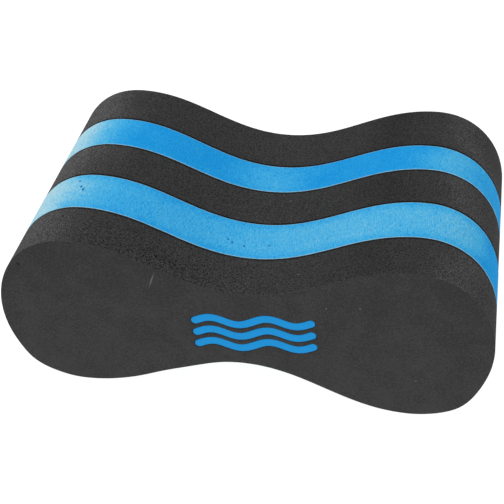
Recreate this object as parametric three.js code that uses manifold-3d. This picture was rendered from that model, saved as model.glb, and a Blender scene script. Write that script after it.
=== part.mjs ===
// Pull buoy: the leg float that a swimmer holds between the thighs.
//
// The object is a block of five foam sheets, glued face to face and cut to an hourglass outline. The
// outline lies in the XZ plane and the sheets are stacked along Y. A mark of three wave bands is inlaid in
// the front end face.
//
// Millimetres. +X runs along the length, +Y from the marked end face to the plain one, +Z is up. The origin
// is the centre of the footprint, on the surface that the two lobes stand on.

import * as THREE from 'three';
import { mergeVertices } from 'three/addons/utils/BufferGeometryUtils.js';
import Module from 'manifold-3d';

const wasm = await Module();
wasm.setup();

// Outline, seen from the front
const LENGTH = 240;
const HEIGHT = 87; // over the crowns of the lobes
const WAIST = 43.5; // height left between the upper and lower saddle
const CROWN_X = 81.5; // from the middle to the crown of a lobe
const END_HANDLE = 22; // how upright the ends are, up and down from their middle
const SHOULDER_HANDLE = 24.5; // how flat the crown is on the side of the end
const CROWN_HANDLE = 32; // how flat the crown is on the side of the saddle
const SADDLE_HANDLE = 32.5; // how flat the bottom of the saddle is
const CURVE_STEPS = 16; // straight runs that stand for one curve of the outline
const EDGE_RADIUS = 0.75; // rounding of the outer edges of the two end faces
const EDGE_STEPS = 3;

// Stack, from front to back
const CHARCOAL = '#363637';
const BLUE = '#43a9df';
const FOAM_ROUGHNESS = 0.9;
const SHEETS = [
	{ name: 'front_charcoal_sheet', thickness: 27.75, colour: CHARCOAL },
	{ name: 'front_blue_sheet', thickness: 28, colour: BLUE },
	{ name: 'middle_charcoal_sheet', thickness: 28.5, colour: CHARCOAL },
	{ name: 'rear_blue_sheet', thickness: 23.5, colour: BLUE },
	{ name: 'rear_charcoal_sheet', thickness: 32.75, colour: CHARCOAL },
];
const GLUE_THICKNESS = 0.5;
const GLUE_INSET = 0.25; // the glue stops this far below the cut surface
const GLUE_COLOUR = '#26282a';
const GLUE_ROUGHNESS = 0.6;
const GLUE_NAMES = [ 'glue_line_1', 'glue_line_2', 'glue_line_3', 'glue_line_4' ];

// Wave mark on the front face
const MARK_CENTRE_X = 6.5;
const MARK_CENTRE_Z = HEIGHT / 2 - 2;
const MARK_TILT = THREE.MathUtils.degToRad( 5 ); // it sits a little askew
const MARK_LENGTH = 56; // between the centres of a band's round ends
const WAVES = 2;
const WAVE_AMPLITUDE = 2;
const BAND_WIDTH = 4.25;
const BAND_PITCH = 7.25; // from the centre line of one band to the next
const BAND_STEPS = 32;
const BAND_END_STEPS = 6;
const MARK_COLOUR = '#1f91d7';
const MARK_ROUGHNESS = 0.55;
const MARK_THICKNESS = 0.5;
const POCKET_DEPTH = 0.75; // leaves the mark a quarter of a millimetre below the face
const POCKET_GAP = 0.3;
const MARK_NAMES = [ 'lower_wave_mark', 'middle_wave_mark', 'upper_wave_mark' ];

const OVERCUT = 10; // how far a cutting solid reaches past what it cuts

const stackThickness = SHEETS.reduce( ( sum, sheet ) => sum + sheet.thickness, 0 );
const DEPTH = stackThickness + GLUE_NAMES.length * GLUE_THICKNESS;
const FRONT_Y = - DEPTH / 2;

// The hourglass, made of one quarter (end, crown, middle of the saddle) and its three mirror images.
function buoyOutline( inset = 0 ) {

	const endX = LENGTH / 2 - inset;
	const crownZ = HEIGHT / 2 - inset;
	const waistZ = WAIST / 2 - inset;
	const quarter = [
		[ endX, 0 ],
		[ endX, END_HANDLE ],
		[ CROWN_X + SHOULDER_HANDLE, crownZ ],
		[ CROWN_X, crownZ ],
		[ CROWN_X - CROWN_HANDLE, crownZ ],
		[ SADDLE_HANDLE, waistZ ],
		[ 0, waistZ ],
	];
	const mirrored = ( signX, signZ ) => quarter.map( ( [ x, z ] ) => [ signX * x, HEIGHT / 2 + signZ * z ] );
	const quarters = [
		mirrored( 1, 1 ),
		mirrored( - 1, 1 ).reverse(),
		mirrored( - 1, - 1 ),
		mirrored( 1, - 1 ).reverse(),
	];

	const outline = new THREE.Shape();
	outline.moveTo( ...quarters[ 0 ][ 0 ] );
	for ( const points of quarters ) {

		outline.bezierCurveTo( ...points[ 1 ], ...points[ 2 ], ...points[ 3 ] );
		outline.bezierCurveTo( ...points[ 4 ], ...points[ 5 ], ...points[ 6 ] );

	}

	return outline;

}

// One band of the mark: a sine wave given a width, with half-round ends. Rise is its height in the mark.
function waveOutline( rise, width ) {

	const centre = new THREE.Vector2( MARK_CENTRE_X, MARK_CENTRE_Z );
	const outlinePoints = [];
	const waveNumber = 2 * Math.PI * WAVES / MARK_LENGTH;

	const addPoint = ( along, turn ) => {

		const slope = WAVE_AMPLITUDE * waveNumber * Math.cos( waveNumber * along );
		const heading = Math.atan( slope ) + turn;
		const point = new THREE.Vector2(
			centre.x + along - MARK_LENGTH / 2 + Math.cos( heading ) * width / 2,
			centre.y + rise + WAVE_AMPLITUDE * Math.sin( waveNumber * along ) + Math.sin( heading ) * width / 2,
		);
		outlinePoints.push( point.rotateAround( centre, MARK_TILT ) );

	};

	for ( let step = 0; step < BAND_STEPS; step ++ ) {

		addPoint( MARK_LENGTH * step / BAND_STEPS, - Math.PI / 2 );

	}

	for ( let step = 0; step < BAND_END_STEPS; step ++ ) {

		addPoint( MARK_LENGTH, Math.PI * ( step / BAND_END_STEPS - 0.5 ) );

	}

	for ( let step = 0; step < BAND_STEPS; step ++ ) {

		addPoint( MARK_LENGTH * ( 1 - step / BAND_STEPS ), Math.PI / 2 );

	}

	for ( let step = 0; step < BAND_END_STEPS; step ++ ) {

		addPoint( 0, Math.PI * ( step / BAND_END_STEPS + 0.5 ) );

	}

	return new THREE.Shape( outlinePoints );

}

// Extrudes an outline drawn in X and Z from one Y to a larger one. A bevel reaches past both.
function extrudeAlongY( outline, fromY, toY, bevel = { bevelEnabled: false } ) {

	const geometry = new THREE.ExtrudeGeometry( outline, {
		depth: toY - fromY,
		curveSegments: CURVE_STEPS,
		...bevel,
	} );
	geometry.rotateX( Math.PI / 2 );
	geometry.translate( 0, toY, 0 );
	return geometry;

}

function toSolid( geometry ) {

	geometry.deleteAttribute( 'normal' );
	geometry.deleteAttribute( 'uv' );
	const merged = mergeVertices( geometry );
	return new wasm.Manifold( new wasm.Mesh( {
		numProp: 3,
		vertProperties: merged.attributes.position.array,
		triVerts: new Uint32Array( merged.index.array ),
	} ) );

}

function toGeometry( solid ) {

	const { vertProperties, triVerts } = solid.getMesh();
	const geometry = new THREE.BufferGeometry();
	geometry.setAttribute( 'position', new THREE.BufferAttribute( vertProperties, 3 ) );
	geometry.setIndex( new THREE.BufferAttribute( triVerts, 1 ) );
	geometry.computeVertexNormals();
	return geometry;

}

// The whole float as one block, with both end faces rounded off at the edge.
function buoyBlock() {

	return toSolid( extrudeAlongY( buoyOutline(), FRONT_Y + EDGE_RADIUS, - FRONT_Y - EDGE_RADIUS, {
		bevelThickness: EDGE_RADIUS,
		bevelSize: EDGE_RADIUS,
		bevelOffset: - EDGE_RADIUS,
		bevelSegments: EDGE_STEPS,
	} ) );

}

// The slab of space between two Y planes, which cuts one sheet out of the block.
function slab( fromY, toY ) {

	const box = new THREE.BoxGeometry( LENGTH + OVERCUT, toY - fromY, HEIGHT + OVERCUT );
	box.translate( 0, ( fromY + toY ) / 2, HEIGHT / 2 );
	return toSolid( box );

}

function markPocket( rise ) {

	const outline = waveOutline( rise, BAND_WIDTH + 2 * POCKET_GAP );
	return toSolid( extrudeAlongY( outline, FRONT_Y - OVERCUT, FRONT_Y + POCKET_DEPTH ) );

}

function addMesh( name, geometry, colour, roughness ) {

	const material = new THREE.MeshStandardMaterial( { color: colour, roughness, metalness: 0 } );
	const mesh = new THREE.Mesh( geometry, material );
	mesh.name = name;
	buoy.add( mesh );

}

const buoy = new THREE.Group();
buoy.name = 'pull_buoy';

const middleBand = ( MARK_NAMES.length - 1 ) / 2;
const bandRises = MARK_NAMES.map( ( name, band ) => ( band - middleBand ) * BAND_PITCH );
const block = buoyBlock();

let sheetFront = FRONT_Y;
SHEETS.forEach( ( sheet, index ) => {

	const isFirst = index === 0;
	const isLast = index === SHEETS.length - 1;
	const sheetBack = sheetFront + sheet.thickness;
	const cutFrom = isFirst ? sheetFront - OVERCUT : sheetFront;
	const cutTo = isLast ? sheetBack + OVERCUT : sheetBack;
	let solid = block.intersect( slab( cutFrom, cutTo ) );
	if ( isFirst ) {

		for ( const rise of bandRises ) solid = solid.subtract( markPocket( rise ) );

	}

	addMesh( sheet.name, toGeometry( solid ), sheet.colour, FOAM_ROUGHNESS );

	if ( ! isLast ) {

		const glueBack = sheetBack + GLUE_THICKNESS;
		const glue = extrudeAlongY( buoyOutline( GLUE_INSET ), sheetBack, glueBack );
		addMesh( GLUE_NAMES[ index ], glue, GLUE_COLOUR, GLUE_ROUGHNESS );
		sheetFront = glueBack;

	}

} );

MARK_NAMES.forEach( ( name, band ) => {

	const backY = FRONT_Y + POCKET_DEPTH;
	const mark = extrudeAlongY( waveOutline( bandRises[ band ], BAND_WIDTH ), backY - MARK_THICKNESS, backY );
	addMesh( name, mark, MARK_COLOUR, MARK_ROUGHNESS );

} );

export default buoy;
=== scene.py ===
import math
from dataclasses import dataclass

import bmesh
import bpy
import numpy as np
from mathutils import Matrix, Vector, noise
from mathutils.geometry import delaunay_2d_cdt


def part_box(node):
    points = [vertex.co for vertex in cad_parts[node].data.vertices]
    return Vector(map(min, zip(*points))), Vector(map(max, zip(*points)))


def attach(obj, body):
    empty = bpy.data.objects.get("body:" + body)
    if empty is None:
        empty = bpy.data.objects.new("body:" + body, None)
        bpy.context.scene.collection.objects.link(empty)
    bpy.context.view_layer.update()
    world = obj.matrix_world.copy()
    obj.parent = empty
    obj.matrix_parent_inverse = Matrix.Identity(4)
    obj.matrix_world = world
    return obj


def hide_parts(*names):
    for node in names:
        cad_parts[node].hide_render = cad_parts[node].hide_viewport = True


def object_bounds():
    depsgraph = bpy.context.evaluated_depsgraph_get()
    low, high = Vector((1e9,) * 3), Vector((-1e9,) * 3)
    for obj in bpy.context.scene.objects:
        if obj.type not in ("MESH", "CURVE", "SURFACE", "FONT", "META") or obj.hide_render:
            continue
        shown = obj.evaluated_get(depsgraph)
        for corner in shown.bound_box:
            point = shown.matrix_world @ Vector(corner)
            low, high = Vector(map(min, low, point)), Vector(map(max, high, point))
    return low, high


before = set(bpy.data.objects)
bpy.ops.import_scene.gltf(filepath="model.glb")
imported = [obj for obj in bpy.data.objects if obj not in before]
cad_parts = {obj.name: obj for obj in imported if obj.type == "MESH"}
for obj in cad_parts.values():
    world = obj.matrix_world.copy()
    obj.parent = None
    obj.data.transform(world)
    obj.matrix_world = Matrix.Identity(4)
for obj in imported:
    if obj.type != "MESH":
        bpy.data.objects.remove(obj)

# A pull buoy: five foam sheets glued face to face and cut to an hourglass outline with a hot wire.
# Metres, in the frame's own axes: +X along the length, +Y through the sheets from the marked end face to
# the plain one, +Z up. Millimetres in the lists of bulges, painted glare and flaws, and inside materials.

MM = 0.001

GLUE_LINES = ["glue_line_1", "glue_line_2", "glue_line_3", "glue_line_4"]
MARKS = ["lower_wave_mark", "middle_wave_mark", "upper_wave_mark"]

# Outline of one quarter, as two curves from the end over the crown to the middle of the saddle
WAIST = 43.5 * MM
CROWN_X = 81.5 * MM
END_HANDLE = 22 * MM
SHOULDER_HANDLE = 24.5 * MM
CROWN_HANDLE = 32 * MM
SADDLE_HANDLE = 32.5 * MM
CURVE_POINTS = 200
OUTLINE_POINTS = 1100

# Where the lower half was cut a little too full: (X, Z, spread, how much)
BULGES = [
    (-106, 10, 10, 1.1),
    (-52, 6, 12, 0.4),
    (-26, 17, 15, 1.2),
    (106, 9, 12, 1.5),
]

# How the real stack differs from a square one
REAR_SEAM_SLOPE = -0.0195  # the rear seam is not quite parallel to the others
REAR_SHIFT = 0.4 * MM  # the rear sits this much towards +X

# Cut surface
ROW_SPACING = 0.6 * MM
WIRE_WOBBLE = 0.10 * MM
WOBBLE_SCALE = (30, 16, 30)  # lumps a metre, along X, Y and Z
WIRE_MARKS = 0.03 * MM
WIRE_MARKS_SCALE = (520, 90, 520)
MEAN_DEPTH = 0.6  # how far below the outline the cut lies on average, as a share of the wobble
CUT_SEED_STEP = 3.7  # how far apart in the noise two sheets lie

# Seams
SEAM_RADIUS = 0.2 * MM
SEAM_RINGS = 3
SEAM_ROWS = (0.25 * MM, 0.4 * MM, 0.7 * MM)  # extra rows next to a seam
CHARCOAL_SEAM_SHADE = (1.2 * MM, 1.6 * MM)  # how far painted shade darkens the foam from its front and back seam
# Painted highlight: how far the blue foam is paled from its front and back seam
BLUE_SEAM_HIGHLIGHT = (0.3 * MM, 0.45 * MM)
GLUE_RECESS = 0.12 * MM
GLUE_SCALE = 160  # lumps a metre
GLUE_SEED_STEP = 5.1

# End faces
EDGE_RADIUS = 0.4 * MM
EDGE_RINGS = 4
FLAT_RINGS = (0.5 * MM, 1.4 * MM)  # from the inside of the rounding
NET_SPACING = 2.5 * MM
NET_GAP = 0.45  # how far the net keeps from its borders, as a share of its spacing
FACE_WAVE = 0.04 * MM
FACE_WAVE_SCALE = 28  # lumps a metre
KEEP_TO_BORDERS = 1  # tells delaunay_2d_cdt to fill only what the borders enclose
SAME_POINT = 1e-9

# Wave mark
WAVES = 2
WAVE_AMPLITUDE = 2 * MM
MARK_TILT = math.radians(5)
MARK_LENGTH = 56 * MM  # between the centres of a band's round ends
BAND_WIDTH = 4.25 * MM
BAND_STEPS = 120
BAND_END_STEPS = 16
MARK_EDGE = 0.15 * MM
MARK_EDGE_RINGS = 4
POCKET_GAP = 0.3 * MM
POCKET_LIP = 0.12 * MM
POCKET_DEPTH = 0.75 * MM

# Painted glare of the lights on the cut surface, paler where the foam faces them, and painted shade where a
# strength is below 0: (X of the middle, spread, strength)
CHARCOAL_PAINTED_GLARE = [
    (0, 400, 0.21),
    (-101, 18, 0.54),
    (5, 30, 0.05),
    (60, 12, -0.14),
    (102, 12, 0.3),
    (118, 10, 0.05),
]
FRONT_CHARCOAL_PAINTED_GLARE = CHARCOAL_PAINTED_GLARE + [
    (-101, 18, -0.08),
    (-10, 80, 0.03),
    (60, 14, 0.05),
]
FRONT_BLUE_PAINTED_GLARE = [
    (0, 400, 0.115),
    (-112, 25, 0.82),
    (50, 70, 0.19),
    (98, 14, 0.1),
    (120, 10, -0.28),
]
REAR_BLUE_PAINTED_GLARE = [
    (-112, 22, 0.95),
    (1, 18, 0.16),
    (96, 18, 0.23),
]
GLARE_DRIFT = 7 * MM
DRIFT_SCALE = (25, 60)  # lumps a metre, along X and Y
GLARE_SEED_STEP = 9.1
LEAST_GLARE = 0.01
GLARE_REACH = 8 * MM  # how far from a seam a light painted glare has its full strength
STRONG_GLARE = (0.3, 0.8)  # the painted glare that a seam starts to spare, and the painted glare that it spares altogether
UNDERSIDE_GLARE = 0.6  # share of the painted glare that the hidden lower half has
UNDERSIDE_FADE = (-15 * MM, 5 * MM)  # heights from the middle between which that share becomes whole

# Small slits in the upper surface, across the length: (X, Y, half length), and their half width and depth
NICKS = [
    (-86.5, -27.8, 1.3),
    (-88.3, -25.2, 1.1),
    (-90.5, -20.2, 0.7),
    (-10.9, -32.8, 0.9),
    (-13.2, -31.2, 0.7),
    (-4.7, -34.2, 0.8),
    (7.5, -32.0, 0.6),
]
NICK_HALF_WIDTH = 0.5
NICK_DEPTH = 0.4  # this and the half width are in millimetres too

# Pale flecks on the charcoal foam: (X, Y, Z, radius)
FLECKS = [
    (25.8, -57.8, 69.9, 0.6),
    (12.4, 6.0, 66.3, 0.6),
    (40.9, -71.2, 61.7, 0.45),
    (56.7, -71.2, 63.7, 0.5),
    (84.8, -71.2, 22.5, 0.45),
]
FLECK_GREY = 118

# A small dark pit in the front face: (X, Z), and its radius
PIT_PLACE = (-107.6, 70.6)
PIT_RADIUS = 1.1

# A light scratch on the front face: (X, Z) of its middle, its half length and half width, and its lean
SCRATCH_PLACE = (-42.0, 68.7)
SCRATCH_LENGTH = 5.5
SCRATCH_WIDTH = 0.45
SCRATCH_LEAN = math.radians(19)
SCRATCH_GREY = 104

# Where the front sheet's cells are torn open: (X, Y, spread along X, spread along Y)
TORN_PATCH = (-38, -66, 32, 12)

# Foam material
STREAK_SIZE = 0.55
SPECKLE_SIZE = 0.55
PATCH_SIZE = 14
DASH_SIZE = 1.3
CELL_SIZE = 1.25
FINE_NOISE = (0.25, 0.75)  # the part of the noise's range that is used, for streaks and speckle
PATCH_NOISE = (0.3, 0.7)
DASH_NOISE = (0.5, 0.7)
CELL_WALL = (0.2, 0.45)  # where a cell's wall starts and ends, from its middle, in cell sizes
STREAKS_OUT_OF_GLARE = 0.2  # share of the streaks on foam without painted glare
FULL_STREAKS = 0.4  # the painted glare from which the streaks are whole
SPECKLE_GLARE = (0.2, 0.6)  # the painted glare from which the speckle grows, and the painted glare where it has doubled
TORN_SPECKLE = 0.5  # how much of the speckle is added where cells are torn
PATCH_TONE = 0.025  # how much the patches change the tone of the cut surface
NICK_SHADE = (0.1, 0.7)  # how deep in a nick the painted shade begins, and how deep it is whole
DASHED_SEAM_SHADING = 0.5  # what the dashes leave of the painted seam shading
FACE_LEVEL = (0.2, 0.8)  # the tone of an end face at the bottom and the top; the paler bottom is painted light from the floor
FACE_SPECKLE_TONE = 0.9  # how much the speckle changes that tone
FACE_PATCH_TONE = 0.3
EDGE_HIGHLIGHT = (0.3, 1.6)  # how pale the painted highlight makes the rounding between the dashes and in them
FOAM_ROUGHNESS = (0.85, 0.97)
FOAM_RELIEF = 0.10 * MM

# Light: name, place from the middle of the object, size and power
LIGHTS = [
    ("key_softbox", (-0.7, 0.5, 1.1), 0.9, 6),
    ("front_fill", (0.2, -1.4, 0.7), 1.2, 8),
]
WORLD_LIGHT = 0.7
WORLD_SEEN = 1.1  # how bright the camera sees it
WHITE = (1, 1, 1, 1)

# Floor
FLOOR_HALF = 10
FLOOR_GREY = 125
FLOOR_GLOW = 0.94

# Camera
CAMERA_TURN = math.radians(-11.27)
CAMERA_PITCH = math.radians(37.43)
CAMERA_ROLL = math.radians(-1.55)
CAMERA_DISTANCE = 635.7 * MM
CAMERA_AIM = Vector((-6.3, -6.25, -3.2)) * MM  # from the middle of the object
CAMERA_LENS = 86.96
CAMERA_SENSOR = 36

cad_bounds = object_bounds()
low, high = Vector(cad_bounds[0]), Vector(cad_bounds[1])
CENTRE = (low + high) / 2
LENGTH = high.x - low.x
HEIGHT = high.z - low.z


# ---------------------------------------------------------------- outlines

def curve_points(corners):
    """Points along a cubic curve, without its last point."""
    t = np.linspace(0, 1, CURVE_POINTS, endpoint=False)[:, None]
    a, b, c, d = (np.array(corner) for corner in corners)
    return (1 - t) ** 3 * a + 3 * (1 - t) ** 2 * t * b + 3 * (1 - t) * t ** 2 * c + t ** 3 * d


def evenly_spaced(loop, count):
    """The same closed loop with evenly spaced points."""
    closed = np.vstack([loop, loop[:1]])
    steps = np.hypot(*np.diff(closed, axis=0).T)
    along = np.concatenate([[0], np.cumsum(steps)])
    wanted = np.linspace(0, along[-1], count, endpoint=False)
    return np.column_stack([np.interp(wanted, along, closed[:, k]) for k in (0, 1)])


def outward(loop):
    """Unit normals that point out of a loop that runs anticlockwise."""
    tangent = np.roll(loop, -1, axis=0) - np.roll(loop, 1, axis=0)
    tangent /= np.hypot(*tangent.T)[:, None]
    return np.column_stack([tangent[:, 1], -tangent[:, 0]])


def buoy_outline():
    """The hourglass in X and Z, anticlockwise: a quarter and its three mirror images, with the bulges."""
    half_length, half_height, half_waist = LENGTH / 2, HEIGHT / 2, WAIST / 2
    quarter = [
        (half_length, 0),
        (half_length, END_HANDLE),
        (CROWN_X + SHOULDER_HANDLE, half_height),
        (CROWN_X, half_height),
        (CROWN_X - CROWN_HANDLE, half_height),
        (SADDLE_HANDLE, half_waist),
        (0, half_waist),
    ]
    loop = []
    for sign_x, sign_z in ((1, 1), (-1, 1), (-1, -1), (1, -1)):
        corners = [(sign_x * x, CENTRE.z + sign_z * z) for x, z in quarter]
        if sign_x != sign_z:
            corners.reverse()
        loop += [curve_points(corners[:4]), curve_points(corners[3:])]
    loop = evenly_spaced(np.vstack(loop), OUTLINE_POINTS)
    for x, z, spread, fullness in BULGES:
        distance = np.hypot(loop[:, 0] / MM - x, loop[:, 1] / MM - z) / spread
        loop = loop + outward(loop) * fullness * MM * np.exp(-distance ** 2)[:, None]
    return loop


def band_outline(node, grow=0.0):
    """A tilted sine wave with a width and half-round ends, in X and Z, anticlockwise, in the node's place."""
    node_low, node_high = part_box(node)
    centre = (node_low + node_high) / 2
    radius = BAND_WIDTH / 2 + grow
    wave_number = 2 * math.pi * WAVES / MARK_LENGTH
    cos_tilt, sin_tilt = math.cos(MARK_TILT), math.sin(MARK_TILT)

    # (share of the way along the band, direction in half turns from straight ahead)
    stations = [(i / BAND_STEPS, -0.5) for i in range(BAND_STEPS)]
    stations += [(1, i / BAND_END_STEPS - 0.5) for i in range(BAND_END_STEPS)]
    stations += [(1 - i / BAND_STEPS, 0.5) for i in range(BAND_STEPS)]
    stations += [(0, i / BAND_END_STEPS + 0.5) for i in range(BAND_END_STEPS)]

    points = []
    for share, turn in stations:
        phase = wave_number * share * MARK_LENGTH
        heading = math.atan(WAVE_AMPLITUDE * wave_number * math.cos(phase)) + turn * math.pi
        along = (share - 0.5) * MARK_LENGTH + radius * math.cos(heading)
        rise = WAVE_AMPLITUDE * math.sin(phase) + radius * math.sin(heading)
        points.append((
            centre.x + along * cos_tilt - rise * sin_tilt,
            centre.z + along * sin_tilt + rise * cos_tilt,
        ))
    return np.array(points)


# ---------------------------------------------------------------- mesh helpers

def soft_step(values, start, end):
    """0 at start and before it, 1 at end and past it, and smooth between them."""
    share = np.clip((values - start) / (end - start), 0, 1)
    return share * share * (3 - 2 * share)


def ring(loop, inset, y):
    """A loop in X and Z, moved in by inset, as points in space at y."""
    moved = loop - outward(loop) * np.reshape(inset, (-1, 1))
    return np.column_stack([moved[:, 0], np.broadcast_to(y, len(loop)), moved[:, 1]])


def rounded_edge(radius, rings):
    """(distance from the end plane, inset) of each ring of a rounded edge, starting at the plane."""
    angles = [math.pi / 2 * (1 - i / rings) for i in range(rings)]
    return [(radius * (1 - math.sin(a)), radius * (1 - math.cos(a))) for a in angles]


def bridge(bm, ring_a, ring_b):
    """Joins two rings of vertices with a band of faces."""
    count = len(ring_a)
    for i in range(count):
        j = (i + 1) % count
        bm.faces.new((ring_a[i], ring_a[j], ring_b[j], ring_b[i]))


def loft(bm, rings):
    """Joins rings of points into a tube, and returns them as rings of vertices."""
    made = [[bm.verts.new(point) for point in points] for points in rings]
    for ring_a, ring_b in zip(made, made[1:]):
        bridge(bm, ring_a, ring_b)
    return made


def inside(points, loop):
    """Which points lie inside a closed loop, by counting crossings."""
    x, z = points[:, 0][:, None], points[:, 1][:, None]
    x0, z0 = loop.T[:, None]
    x1, z1 = np.roll(loop, -1, axis=0).T[:, None]
    spans = (z0 > z) != (z1 > z)
    rise = np.where(z1 == z0, 1, z1 - z0)
    crossing_x = x0 + (z - z0) * (x1 - x0) / rise
    return (spans & (x < crossing_x)).sum(axis=1) % 2 == 1


def between(points, loops):
    """Which points lie inside the first loop and outside the others."""
    keep = inside(points, loops[0])
    for hole in loops[1:]:
        keep &= ~inside(points, hole)
    return keep


def face_net(loops):
    """A triangular net of points in X and Z that fills the first loop around the others."""
    step_x, step_z = NET_SPACING, NET_SPACING * math.sqrt(3) / 2
    columns = np.arange(low.x, high.x, step_x)
    rows = np.arange(low.z, high.z, step_z)
    net = np.array([(x + (r % 2) * step_x / 2, z) for r, z in enumerate(rows) for x in columns])
    net = net[between(net, loops)]
    for loop in loops:
        gap = np.hypot(*(net[:, None] - loop[None]).transpose(2, 0, 1)).min(axis=1)
        net = net[gap > NET_SPACING * NET_GAP]
    return net


def fill_face(bm, border, holes, y):
    """Fills a flat end face between a ring of vertices and the rings of its holes with triangles."""
    borders = [border] + holes
    loops = [np.array([(v.co.x, v.co.z) for v in verts]) for verts in borders]
    edges, start = [], 0
    for loop in loops:
        count = len(loop)
        edges += [(start + i, start + (i + 1) % count) for i in range(count)]
        start += count
    points = [Vector(p) for p in np.vstack(loops + [face_net(loops)])]
    out_points, _, triangles, sources, _, _ = delaunay_2d_cdt(points, edges, [], KEEP_TO_BORDERS, SAME_POINT)

    fixed = [v for verts in borders for v in verts]
    verts = []
    for point, source in zip(out_points, sources):
        if source and source[0] < len(fixed):
            verts.append(fixed[source[0]])
        else:
            wave = noise.noise(Vector((point.x, y, point.y)) * FACE_WAVE_SCALE) * FACE_WAVE
            verts.append(bm.verts.new((point.x, y + wave, point.y)))
    centres = np.array([[sum(out_points[i][k] for i in t) / 3 for k in (0, 1)] for t in triangles])
    for triangle, kept in zip(triangles, between(centres, loops)):
        if kept:
            bm.faces.new([verts[i] for i in triangle])


def finish_piece(bm, name, node, material):
    """Makes the mesh into a piece that stands for a CAD node."""
    bmesh.ops.recalc_face_normals(bm, faces=bm.faces)
    mesh = bpy.data.meshes.new(name)
    bm.to_mesh(mesh)
    bm.free()
    mesh.polygons.foreach_set("use_smooth", [True] * len(mesh.polygons))
    mesh.materials.append(material)
    piece = bpy.data.objects.new(name, mesh)
    bpy.context.scene.collection.objects.link(piece)
    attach(piece, "root")
    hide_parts(node)
    return piece


def set_askew(piece):
    """Moves the piece's points as the real stack differs from a square one. The foam is pressed flat where
    it would reach below the ground."""
    seam_low, seam_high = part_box(GLUE_LINES[-1])
    flat = np.empty(len(piece.data.vertices) * 3, dtype=np.float32)
    piece.data.vertices.foreach_get("co", flat)
    points = flat.reshape(-1, 3)
    before = soft_step(points[:, 1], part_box("rear_blue_sheet")[0].y, seam_low.y)
    behind = 1 - soft_step(points[:, 1], seam_high.y, high.y)
    points[:, 1] += REAR_SEAM_SLOPE * points[:, 0] * before * behind
    points[:, 0] += REAR_SHIFT * soft_step(points[:, 1], low.y, high.y)
    points[:, 2] = np.maximum(points[:, 2], low.z)
    piece.data.vertices.foreach_set("co", points.ravel())
    piece.data.update()


# ---------------------------------------------------------------- foam sheets

@dataclass
class Sheet:
    """What sets one foam sheet apart from the others."""
    node: str
    slot: str
    painted_glare: list
    seam_light_width: tuple
    seam_glare: float = 1.0  # share of a light painted glare that is left next to a seam
    front_face: bool = False
    back_face: bool = False
    pockets: tuple = ()


SHEETS = [
    Sheet(
        "front_charcoal_sheet", "charcoal_foam", FRONT_CHARCOAL_PAINTED_GLARE, CHARCOAL_SEAM_SHADE,
        front_face=True, pockets=tuple(MARKS),
    ),
    Sheet("front_blue_sheet", "blue_foam", FRONT_BLUE_PAINTED_GLARE, BLUE_SEAM_HIGHLIGHT, seam_glare=0.5),
    Sheet("middle_charcoal_sheet", "charcoal_foam", CHARCOAL_PAINTED_GLARE, CHARCOAL_SEAM_SHADE),
    Sheet("rear_blue_sheet", "blue_foam", REAR_BLUE_PAINTED_GLARE, BLUE_SEAM_HIGHLIGHT, seam_glare=0.8),
    Sheet("rear_charcoal_sheet", "charcoal_foam", CHARCOAL_PAINTED_GLARE, CHARCOAL_SEAM_SHADE, back_face=True),
]


def sheet_end(is_face):
    """(distance, inset) of the rings at one end of a sheet, from its plane inwards. An end face has a flat
    part and a bigger rounding than a seam."""
    if not is_face:
        return rounded_edge(SEAM_RADIUS, SEAM_RINGS) + [(distance, 0.0) for distance in SEAM_ROWS]
    flat = [(0.0, EDGE_RADIUS + distance) for distance in reversed(FLAT_RINGS)]
    return flat + rounded_edge(EDGE_RADIUS, EDGE_RINGS)


def sheet_rows(sheet):
    """(Y, inset) of every row of a sheet, from its front plane to its back plane."""
    node_low, node_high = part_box(sheet.node)
    front, back = sheet_end(sheet.front_face), sheet_end(sheet.back_face)
    from_y = node_low.y + front[-1][0] + ROW_SPACING / 2
    to_y = node_high.y - back[-1][0] - ROW_SPACING / 2
    rows = [(node_low.y + distance, inset) for distance, inset in front]
    rows += [(y, 0.0) for y in np.linspace(from_y, to_y, round((to_y - from_y) / ROW_SPACING))]
    rows += [(node_high.y - distance, inset) for distance, inset in reversed(back)]
    return rows


def nick_mask(x, y, z):
    """How deep each point lies in a nick, from 0 to 1."""
    mask = np.zeros(len(x))
    for nick_x, nick_y, half_length in NICKS:
        distance = np.hypot((x / MM - nick_x) / NICK_HALF_WIDTH, (y / MM - nick_y) / half_length)
        mask = np.maximum(mask, np.exp(-distance ** 2))
    return mask * (z > CENTRE.z)


def torn_mask(x, y, z):
    """How torn the cells are at each point, from 0 to 1."""
    patch_x, patch_y, spread_x, spread_y = (value * MM for value in TORN_PATCH)
    return np.exp(-((x - patch_x) / spread_x) ** 2 - ((y - patch_y) / spread_y) ** 2) * (z > CENTRE.z)


def lumps(point, scale, shift):
    """Smooth noise from -1 to 1, with scale lumps a metre along each axis."""
    return noise.noise(Vector([p * s for p, s in zip(point, scale)]) + shift)


def cut_depth(outline, y, seed):
    """How far the cut lies below the true outline at each point: a slow wobble and fine marks along the
    hot wire, and nicks."""
    shift = Vector((0, 0, seed * CUT_SEED_STEP))
    depth = []
    for x, z in outline:
        slow = lumps((x, y, z), WOBBLE_SCALE, shift)
        marks = lumps((x, y, z), WIRE_MARKS_SCALE, shift)
        depth.append((MEAN_DEPTH - slow) * WIRE_WOBBLE - marks * WIRE_MARKS)
    return np.array(depth) + NICK_DEPTH * MM * nick_mask(outline[:, 0], y, outline[:, 1])


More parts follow.
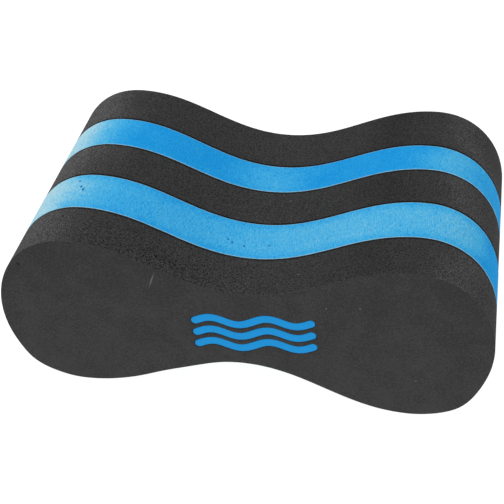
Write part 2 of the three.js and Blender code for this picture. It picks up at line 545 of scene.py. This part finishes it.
def painted_glare_at(points, sheet, seed, seam_distance):
    """How strong the painted glare is at each point, with painted shade where a bump is below 0: smooth bumps
    along X, with an uneven outline.
    """
    scale_x, scale_y = DRIFT_SCALE
    shift = seed * GLARE_SEED_STEP
    drift = np.array([noise.noise(Vector((x * scale_x, y * scale_y, shift))) for x, y, z in points])
    along = points[:, 0] + drift * GLARE_DRIFT
    painted_glare = sum(
        strength * np.exp(-((along - x * MM) / (spread * MM)) ** 2) for x, spread, strength in sheet.painted_glare
    )
    kept = sheet.seam_glare + (1 - sheet.seam_glare) * soft_step(seam_distance, 0, GLARE_REACH)
    painted_glare *= np.maximum(kept, soft_step(painted_glare, *STRONG_GLARE))
    upper = soft_step(points[:, 2], *(CENTRE.z + height for height in UNDERSIDE_FADE))
    return np.maximum(painted_glare * (UNDERSIDE_GLARE + (1 - UNDERSIDE_GLARE) * upper), LEAST_GLARE)


def paint(piece, name, values):
    """Stores one number a vertex, which the material reads by its name."""
    attribute = piece.data.attributes.new(name, "FLOAT", "POINT")
    attribute.data.foreach_set("value", np.asarray(values, dtype=np.float32))


def paint_sheet(piece, sheet, seed):
    """Marks the vertices of the end faces, of the painted shading next to a seam, of the painted glare, and
    of nicked and torn foam.
    """
    node_low, node_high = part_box(sheet.node)
    points = np.array([v.co for v in piece.data.vertices])
    from_ends = (points[:, 1] - node_low.y, node_high.y - points[:, 1])
    face = np.zeros(len(points))
    seam_shading = np.zeros(len(points))
    seam_distance = np.full(len(points), GLARE_REACH)
    for distance, is_face, width in zip(from_ends, (sheet.front_face, sheet.back_face), sheet.seam_light_width):
        if is_face:
            face = np.maximum(face, 1 - soft_step(distance, 0, EDGE_RADIUS))
        else:
            seam_shading = np.maximum(seam_shading, 1 - soft_step(distance, width / 3, width))
            seam_distance = np.minimum(seam_distance, distance)
    paint(piece, "painted_glare", painted_glare_at(points, sheet, seed, seam_distance))
    paint(piece, "face", face)
    paint(piece, "seam_shading", seam_shading)
    paint(piece, "nick", nick_mask(*points.T))
    paint(piece, "torn", torn_mask(*points.T))


def add_pocket(bm, node, front_y):
    """Sinks the pocket of a band of the mark, and returns the ring of vertices at its mouth."""
    band = band_outline(node, POCKET_GAP)
    rings = loft(bm, [
        ring(band, -POCKET_LIP, front_y),
        ring(band, 0, front_y + POCKET_LIP),
        ring(band, 0, front_y + POCKET_DEPTH),
    ])
    bm.faces.new(rings[-1])
    return rings[0]


def make_sheet(sheet, material, seed):
    node_low, node_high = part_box(sheet.node)
    outline = buoy_outline()
    bm = bmesh.new()
    rows = sheet_rows(sheet)
    made = loft(bm, [ring(outline, inset + cut_depth(outline, y, seed), y) for y, inset in rows])
    mouths = [add_pocket(bm, pocket, node_low.y) for pocket in sheet.pockets]
    if sheet.front_face:
        fill_face(bm, made[0], mouths, node_low.y)
    else:
        bm.faces.new(made[0])
    if sheet.back_face:
        fill_face(bm, made[-1], [], node_high.y)
    else:
        bm.faces.new(made[-1])
    piece = finish_piece(bm, "foam_" + sheet.node, sheet.node, material)
    paint_sheet(piece, sheet, seed)
    set_askew(piece)


# ---------------------------------------------------------------- glue lines and mark

def make_glue_line(node, material, seed):
    """The film between two sheets. Its edge is uneven, because the wire melted it as it cut."""
    node_low, node_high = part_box(node)
    outline = buoy_outline()
    shift = seed * GLUE_SEED_STEP
    uneven = np.array([noise.noise(Vector((x * GLUE_SCALE, shift, z * GLUE_SCALE))) for x, z in outline])
    recess = MEAN_DEPTH * WIRE_WOBBLE + GLUE_RECESS * (1 + uneven)
    bm = bmesh.new()
    made = loft(bm, [
        ring(outline, recess + GLUE_RECESS, node_low.y),
        ring(outline, recess, (node_low.y + node_high.y) / 2),
        ring(outline, recess + GLUE_RECESS, node_high.y),
    ])
    bm.faces.new(made[0])
    bm.faces.new(made[-1])
    piece = finish_piece(bm, "film_" + node, node, material)
    set_askew(piece)


def make_mark(node, material):
    """One inlaid band, with its front edge rounded."""
    node_low, node_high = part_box(node)
    band = band_outline(node)
    edge = rounded_edge(MARK_EDGE, MARK_EDGE_RINGS)
    rings = [ring(band, inset, node_low.y + depth) for depth, inset in edge]
    rings += [ring(band, 0, node_low.y + MARK_EDGE), ring(band, 0, node_high.y)]
    bm = bmesh.new()
    made = loft(bm, rings)
    bm.faces.new(made[0])
    bm.faces.new(made[-1])
    finish_piece(bm, "inlay_" + node, node, material)


# ---------------------------------------------------------------- materials

def linear(*rgb):
    """An 8-bit sRGB colour as the linear numbers that a shader takes, with alpha."""
    channels = [c / 255 for c in rgb]
    return [c / 12.92 if c <= 0.04045 else ((c + 0.055) / 1.055) ** 2.4 for c in channels] + [1]


def grey(level):
    return linear(level, level, level)


class Nodes:
    """A material's node tree, with short calls to add and join nodes."""

    def __init__(self, name):
        self.material = bpy.data.materials.new(name)
        self.material.use_nodes = True
        self.tree = self.material.node_tree
        self.tree.nodes.clear()
        self.shader = self.add("ShaderNodeBsdfPrincipled")
        output = self.add("ShaderNodeOutputMaterial")
        self.tree.links.new(self.shader.outputs[0], output.inputs["Surface"])

    def add(self, kind, settings=None, **inputs):
        """A new node. Its inputs are given by name, with _ for a space."""
        node = self.tree.nodes.new(kind)
        for key, value in (settings or {}).items():
            setattr(node, key, value)
        for key, value in inputs.items():
            self.put(node.inputs[key.replace("_", " ")], value)
        return node

    def put(self, socket, value):
        """Joins a socket to another one, or sets it to a value."""
        if isinstance(value, bpy.types.NodeSocket):
            self.tree.links.new(value, socket)
        else:
            socket.default_value = value

    def shade(self, **inputs):
        """Sets the shader's inputs, by name."""
        for key, value in inputs.items():
            self.put(self.shader.inputs[key.replace("_", " ")], value)

    def place(self):
        """The point in the object's own frame, in metres."""
        return self.add("ShaderNodeTexCoord").outputs["Object"]

    def position(self, stretch=(1, 1, 1)):
        """The point in the object's own frame, in millimetres, with each axis stretched."""
        scale = [1 / MM / s for s in stretch]
        return self.add("ShaderNodeMapping", Vector=self.place(), Scale=scale).outputs[0]

    def height(self):
        """Height above the ground, in metres."""
        return self.add("ShaderNodeSeparateXYZ", Vector=self.place()).outputs["Z"]

    def painted(self, name):
        """The number that each vertex was given under this name."""
        return self.add("ShaderNodeAttribute", {"attribute_name": name}).outputs["Fac"]

    def grain(self, position, size, detail):
        """Noise from 0 to 1 with lumps about size millimetres across."""
        return self.add("ShaderNodeTexNoise", Vector=position, Scale=1 / size, Detail=detail).outputs["Fac"]

    def cells(self, position, size):
        """Distance to the nearest cell centre, in cell sizes."""
        return self.add("ShaderNodeTexVoronoi", Vector=position, Scale=1 / size).outputs["Distance"]

    def spot(self, centre, size, lean=0.0):
        """1 in the middle of an ellipsoid and 0 outside it, in millimetres, with its top leaning to +X."""
        placed = self.add(
            "ShaderNodeMapping", {"vector_type": "TEXTURE"}, Vector=self.place(),
            Location=[c * MM for c in centre], Rotation=(0, lean, 0), Scale=[r * MM for r in size],
        )
        gradient = self.add("ShaderNodeTexGradient", {"gradient_type": "SPHERICAL"}, Vector=placed.outputs[0])
        return gradient.outputs["Fac"]

    def spread(self, value, from_low, from_high, to_low, to_high):
        """The value moved from one range to another, and kept inside it."""
        made = self.add(
            "ShaderNodeMapRange", Value=value,
            From_Min=from_low, From_Max=from_high, To_Min=to_low, To_Max=to_high,
        )
        return made.outputs[0]

    def maths(self, operation, first, second):
        made = self.add("ShaderNodeMath", {"operation": operation})
        self.put(made.inputs[0], first)
        self.put(made.inputs[1], second)
        return made.outputs[0]

    def plus(self, first, second):
        return self.maths("ADD", first, second)

    def minus(self, first, second):
        return self.maths("SUBTRACT", first, second)

    def times(self, first, second):
        return self.maths("MULTIPLY", first, second)

    def ramp(self, value, stops):
        """A colour for each value, from (value, colour) stops."""
        made = self.add("ShaderNodeValToRGB", Fac=value)
        elements = made.color_ramp.elements
        while len(elements) < len(stops):
            elements.new(0.5)
        for element, (stop, colour) in zip(elements, stops):
            element.position, element.color = stop, colour
        return made.outputs["Color"]

    def mix(self, factor, first, second):
        """The first colour where the factor is 0, and the second where it is 1."""
        made = self.add("ShaderNodeMix", {"data_type": "RGBA"})
        colour_inputs = [s for s in made.inputs if s.type == "RGBA"]
        self.put(made.inputs[0], factor)
        self.put(colour_inputs[0], first)
        self.put(colour_inputs[1], second)
        return [s for s in made.outputs if s.type == "RGBA"][0]

    def bump(self, height, distance):
        return self.add("ShaderNodeBump", Height=height, Distance=distance).outputs[0]


def end_face_colour(nodes, face, cut_colour, edge_highlight_colour, speckle, patches, dashes, end_face):
    """The cut surface's colour, and on an end face that of smooth foam, paler towards the bottom as painted
    light from the floor, with a painted highlight along its rounding.
    """
    face_low, face_high = end_face
    # Painted light from the floor: the end face is paler towards the bottom
    level = nodes.spread(nodes.height(), 0, HEIGHT, *FACE_LEVEL)
    level = nodes.plus(level, nodes.times(speckle, FACE_SPECKLE_TONE))
    level = nodes.plus(level, nodes.times(patches, FACE_PATCH_TONE))
    colour = nodes.mix(face, cut_colour, nodes.mix(level, face_low, face_high))
    rounding = nodes.times(face, nodes.minus(1, face))
    # Painted highlight along the rounding of the end face's edge
    edge_highlight = nodes.times(rounding, nodes.spread(dashes, 0.3, 1, *EDGE_HIGHLIGHT))
    return nodes.mix(edge_highlight, colour, edge_highlight_colour)


def add_flaws(nodes, colour, pit_colour):
    """Adds the flecks, and the pit and the scratch of the front face."""
    front_y = low.y / MM
    for x, y, z, radius in FLECKS:
        colour = nodes.mix(nodes.spot((x, y, z), [radius] * 3), colour, grey(FLECK_GREY))
    pit_x, pit_z = PIT_PLACE
    pit = nodes.spot((pit_x, front_y, pit_z), [PIT_RADIUS] * 3)
    colour = nodes.mix(pit, colour, pit_colour)
    scratch_x, scratch_z = SCRATCH_PLACE
    scratch_size = (SCRATCH_WIDTH, SCRATCH_WIDTH, SCRATCH_LENGTH)
    scratch = nodes.spot((scratch_x, front_y, scratch_z), scratch_size, SCRATCH_LEAN)
    return nodes.mix(scratch, colour, grey(SCRATCH_GREY))


def foam_material(
    name, glare_ramp, hollow, seam_shading, streak_length, streaking, speckling, pitting, specular, end_face=None,
):
    """Closed-cell foam, cut open by a hot wire. The glare ramp runs from the foam's own colour to the palest
    painted glare, hollow is the colour inside an open cell, and the seam colour is painted along a glue line:
    painted shade on charcoal and a painted highlight on blue. Streaking, speckling and pitting are strengths.
    An end face is uncut and smooth, and end_face holds the two colours that it has towards the bottom and the
    top, the paler one below as painted light from the floor."""
    nodes = Nodes(name)
    position = nodes.position()
    stretched = nodes.position((1, streak_length, 1))
    streaks = nodes.spread(nodes.grain(stretched, STREAK_SIZE, 1), *FINE_NOISE, -1, 1)
    speckle = nodes.spread(nodes.grain(position, SPECKLE_SIZE, 1), *FINE_NOISE, -1, 1)
    patches = nodes.spread(nodes.grain(position, PATCH_SIZE, 2), *PATCH_NOISE, -1, 1)
    dashes = nodes.spread(nodes.grain(position, DASH_SIZE, 1), *DASH_NOISE, 0, 1)
    open_cell = nodes.spread(nodes.cells(position, CELL_SIZE), *CELL_WALL, 1, 0)
    painted_glare = nodes.painted("painted_glare")
    torn = nodes.painted("torn")

    # The painted glare pales the tone, and the streaks and the speckle grow in it
    glare_streaking = nodes.spread(painted_glare, 0, FULL_STREAKS, STREAKS_OUT_OF_GLARE * streaking, streaking)
    streaked = nodes.times(streaks, glare_streaking)
    speckled = nodes.spread(painted_glare, *SPECKLE_GLARE, speckling, 2 * speckling)
    speckled = nodes.plus(speckled, nodes.times(torn, TORN_SPECKLE * speckling))
    tone = nodes.plus(painted_glare, streaked)
    tone = nodes.plus(tone, nodes.times(patches, PATCH_TONE))
    tone = nodes.plus(tone, nodes.times(speckle, speckled))

    hollowness = nodes.times(open_cell, nodes.spread(torn, 0, 1, pitting, 1))
    # Painted seam shading: painted shade darkens the charcoal next to a glue line, and a painted highlight
    # pales the blue
    seam_shaded = nodes.times(nodes.painted("seam_shading"), nodes.spread(dashes, 0, 1, 1, DASHED_SEAM_SHADING))
    colour = nodes.mix(hollowness, nodes.ramp(tone, glare_ramp), hollow)
    # Painted shade in the depth of the nicks
    colour = nodes.mix(nodes.spread(nodes.painted("nick"), *NICK_SHADE, 0, 1), colour, hollow)
    colour = nodes.mix(seam_shaded, colour, seam_shading)
    relief = nodes.minus(streaked, open_cell)
    if end_face:
        face = nodes.painted("face")
        palest = glare_ramp[-1][1]
        colour = end_face_colour(nodes, face, colour, palest, speckle, patches, dashes, end_face)
        colour = add_flaws(nodes, colour, hollow)
        relief = nodes.mix(face, relief, speckle)
    nodes.shade(
        Base_Color=colour,
        Roughness=nodes.spread(streaks, -1, 1, *FOAM_ROUGHNESS),
        Specular_IOR_Level=specular,
        Normal=nodes.bump(relief, FOAM_RELIEF),
    )
    return nodes.material


def charcoal_foam():
    return foam_material(
        "charcoal_foam",
        # From the foam's own colour to the palest painted glare
        glare_ramp=[
            (0, grey(36)),
            (0.2, grey(53)),
            (0.8, grey(75)),
            (1, grey(98)),
        ],
        hollow=grey(12),
        # Painted shade next to a seam
        seam_shading=grey(20),
        streak_length=1.6,
        streaking=0.1,
        speckling=0.4,
        pitting=0.5,
        specular=0.08,
        # Paler towards the bottom: painted light from the floor
        end_face=(grey(60), grey(47)),
    )


def blue_foam():
    return foam_material(
        "blue_foam",
        # From the foam's own colour to the palest painted glare
        glare_ramp=[
            (0, linear(22, 145, 216)),
            (0.12, linear(54, 164, 221)),
            (0.3, linear(82, 178, 222)),
            (0.75, linear(144, 200, 222)),
            (1, linear(178, 211, 220)),
        ],
        hollow=linear(14, 100, 170),
        # Painted highlight along a seam
        seam_shading=linear(150, 204, 228),
        streak_length=4,
        streaking=0.23,
        speckling=0.12,
        pitting=0.15,
        specular=0.03,
    )


def glue_film():
    nodes = Nodes("glue_film")
    tone = nodes.grain(nodes.position(), 1.5, 3)
    nodes.shade(
        Base_Color=nodes.mix(tone, linear(24, 25, 27), linear(44, 46, 49)),
        Roughness=nodes.spread(tone, 0.3, 0.7, 0.35, 0.6),
        Normal=nodes.bump(tone, 0.05 * MM),
    )
    return nodes.material


def blue_ink():
    nodes = Nodes("blue_ink")
    position = nodes.position()
    tone = nodes.grain(position, 3, 3)
    fine = nodes.grain(position, 0.35, 2)
    nodes.shade(
        Base_Color=nodes.mix(tone, linear(10, 127, 192), linear(20, 137, 202)),
        Roughness=nodes.spread(fine, 0.3, 0.7, 0.5, 0.65),
        Specular_IOR_Level=0.12,
        Normal=nodes.bump(fine, 0.02 * MM),
    )
    return nodes.material


def floor_paper():
    nodes = Nodes("floor_paper")
    nodes.shade(
        Base_Color=grey(FLOOR_GREY),
        Roughness=0.9,
        Specular_IOR_Level=0.1,
        Emission_Color=WHITE,
        Emission_Strength=FLOOR_GLOW,
    )
    return nodes.material


# ---------------------------------------------------------------- stage

def make_floor():
    bm = bmesh.new()
    corners = ((-1, -1), (1, -1), (1, 1), (-1, 1))
    bm.faces.new([bm.verts.new((x * FLOOR_HALF, y * FLOOR_HALF, 0)) for x, y in corners])
    mesh = bpy.data.meshes.new("floor")
    bm.to_mesh(mesh)
    bm.free()
    mesh.materials.append(floor_paper())
    floor = bpy.data.objects.new("floor", mesh)
    bpy.context.scene.collection.objects.link(floor)


def make_light(name, place, size, power):
    """A square softbox that faces the middle of the object."""
    data = bpy.data.lights.new(name, "AREA")
    data.size = size
    data.energy = power
    light = bpy.data.objects.new(name, data)
    light.location = CENTRE + Vector(place)
    light.rotation_euler = (-Vector(place)).to_track_quat("-Z", "Y").to_euler()
    bpy.context.scene.collection.objects.link(light)


def make_world():
    """Even white light from all round, which the camera sees as pure white."""
    world = bpy.data.worlds.new("studio")
    world.use_nodes = True
    tree = world.node_tree
    seen = tree.nodes.new("ShaderNodeLightPath").outputs["Is Camera Ray"]
    strength = tree.nodes.new("ShaderNodeMapRange")
    tree.links.new(seen, strength.inputs["Value"])
    strength.inputs["To Min"].default_value = WORLD_LIGHT
    strength.inputs["To Max"].default_value = WORLD_SEEN
    background = tree.nodes["Background"]
    background.inputs["Color"].default_value = WHITE
    tree.links.new(strength.outputs[0], background.inputs["Strength"])
    bpy.context.scene.world = world


def make_camera():
    forward = Vector((
        math.sin(CAMERA_TURN) * math.cos(CAMERA_PITCH),
        math.cos(CAMERA_TURN) * math.cos(CAMERA_PITCH),
        -math.sin(CAMERA_PITCH),
    ))
    level = Vector((math.cos(CAMERA_TURN), -math.sin(CAMERA_TURN), 0))
    upright = level.cross(forward)
    right = level * math.cos(CAMERA_ROLL) + upright * math.sin(CAMERA_ROLL)
    up = -level * math.sin(CAMERA_ROLL) + upright * math.cos(CAMERA_ROLL)
    data = bpy.data.cameras.new("camera")
    data.sensor_width = CAMERA_SENSOR
    data.lens = CAMERA_LENS
    camera = bpy.data.objects.new("camera", data)
    axes = Matrix((right, up, -forward)).transposed().to_4x4()
    camera.matrix_world = Matrix.Translation(CENTRE + CAMERA_AIM - forward * CAMERA_DISTANCE) @ axes
    bpy.context.scene.collection.objects.link(camera)
    bpy.context.scene.camera = camera


# ---------------------------------------------------------------- the object

make_camera()
make_world()
for name, place, size, power in LIGHTS:
    make_light(name, place, size, power)
make_floor()

foams = {"charcoal_foam": charcoal_foam(), "blue_foam": blue_foam()}
glue = glue_film()
ink = blue_ink()
for seed, sheet in enumerate(SHEETS, start=1):
    make_sheet(sheet, foams[sheet.slot], seed)
for seed, glue_line in enumerate(GLUE_LINES):
    make_glue_line(glue_line, glue, seed)
for mark in MARKS:
    make_mark(mark, ink)

bpy.context.scene.view_settings.view_transform = "Standard"

bpy.context.view_layer.update()
